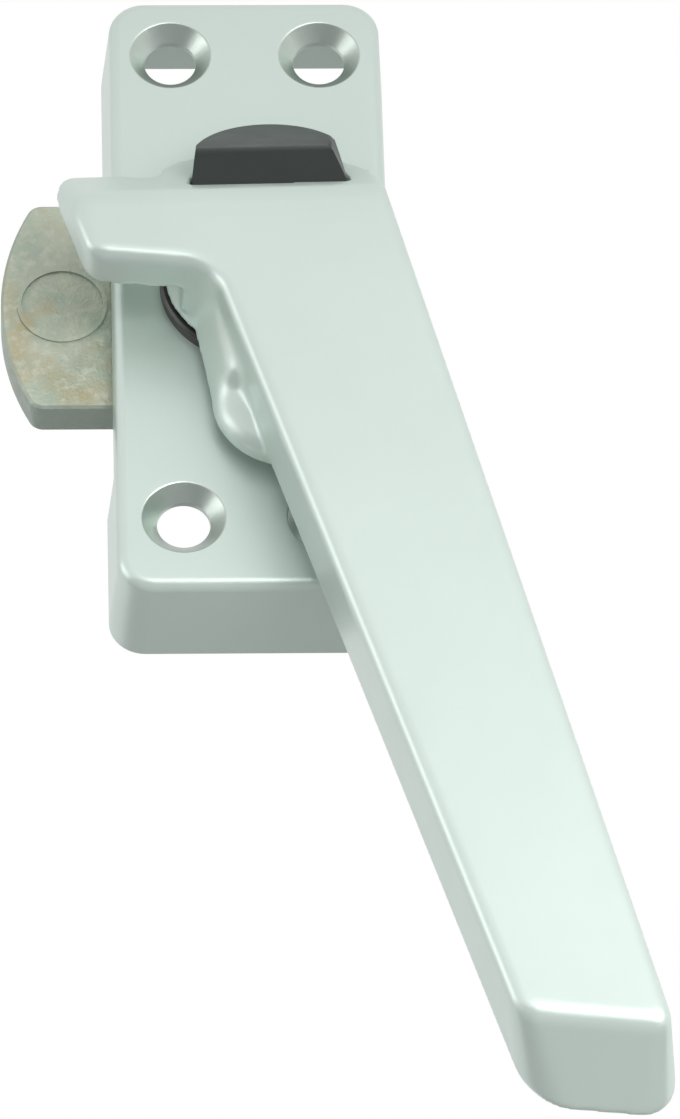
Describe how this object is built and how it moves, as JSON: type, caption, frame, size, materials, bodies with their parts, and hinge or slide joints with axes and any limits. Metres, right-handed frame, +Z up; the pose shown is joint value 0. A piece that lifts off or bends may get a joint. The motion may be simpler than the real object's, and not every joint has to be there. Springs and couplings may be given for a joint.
{
  "type": "window lock",
  "caption": "Window lock with a hollow backplate, a cranked lever handle with a nose, a push button in its head and a rotating cam.",
  "frame": {"origin": "on the turning axis, at the backplate's mounting face", "axes": "+X to the right seen from the front, +Y into the window frame, so the front faces -Y, +Z up"},
  "size_m": [0.0737, 0.027, 0.1567],
  "materials": {
    "plate_paint": "satin",
    "handle_paint": "satin",
    "cam_metal": "mottled",
    "ring_plastic": "matte",
    "button_plastic": "matte",
    "bronze": "sintered",
    "steel": "turned",
    "spring_steel": "dark",
    "zinc_steel": "zinc plated"
  },
  "bodies": {
    "base": {"housing": "plate_paint", "index_ring": "ring_plastic", "bearing_bush": "bronze", "stop_pin": "steel", "thrust_washer": "zinc_steel"},
    "lever": {"handle": "handle_paint", "spindle": "steel", "spindle_pin": "steel", "cam": "cam_metal", "disc_spring": "spring_steel", "cam_washer": "zinc_steel", "cam_circlip": "spring_steel", "button_spring": "spring_steel", "spring_guide": "steel", "hub_cover": "zinc_steel", "cover_screw": "zinc_steel"},
    "button": {"push_button": "button_plastic", "locking_slide": "zinc_steel", "slide_rivet": "steel", "lock_pin": "steel"}
  },
  "joints": [
    {"name": "handle_turn", "type": "hinge", "parent": "base", "child": "lever", "pos_m": [0, 0, 0], "axis": [0, -1, 0], "range_deg": [0, 90]},
    {"name": "button_press", "type": "slide", "parent": "lever", "child": "button", "axis": [0, 0, -1], "range_m": [0, 0.004], "stiffness_N_per_m": 500, "springref_m": -0.004, "deforming": ["button_spring"]}
  ]
}
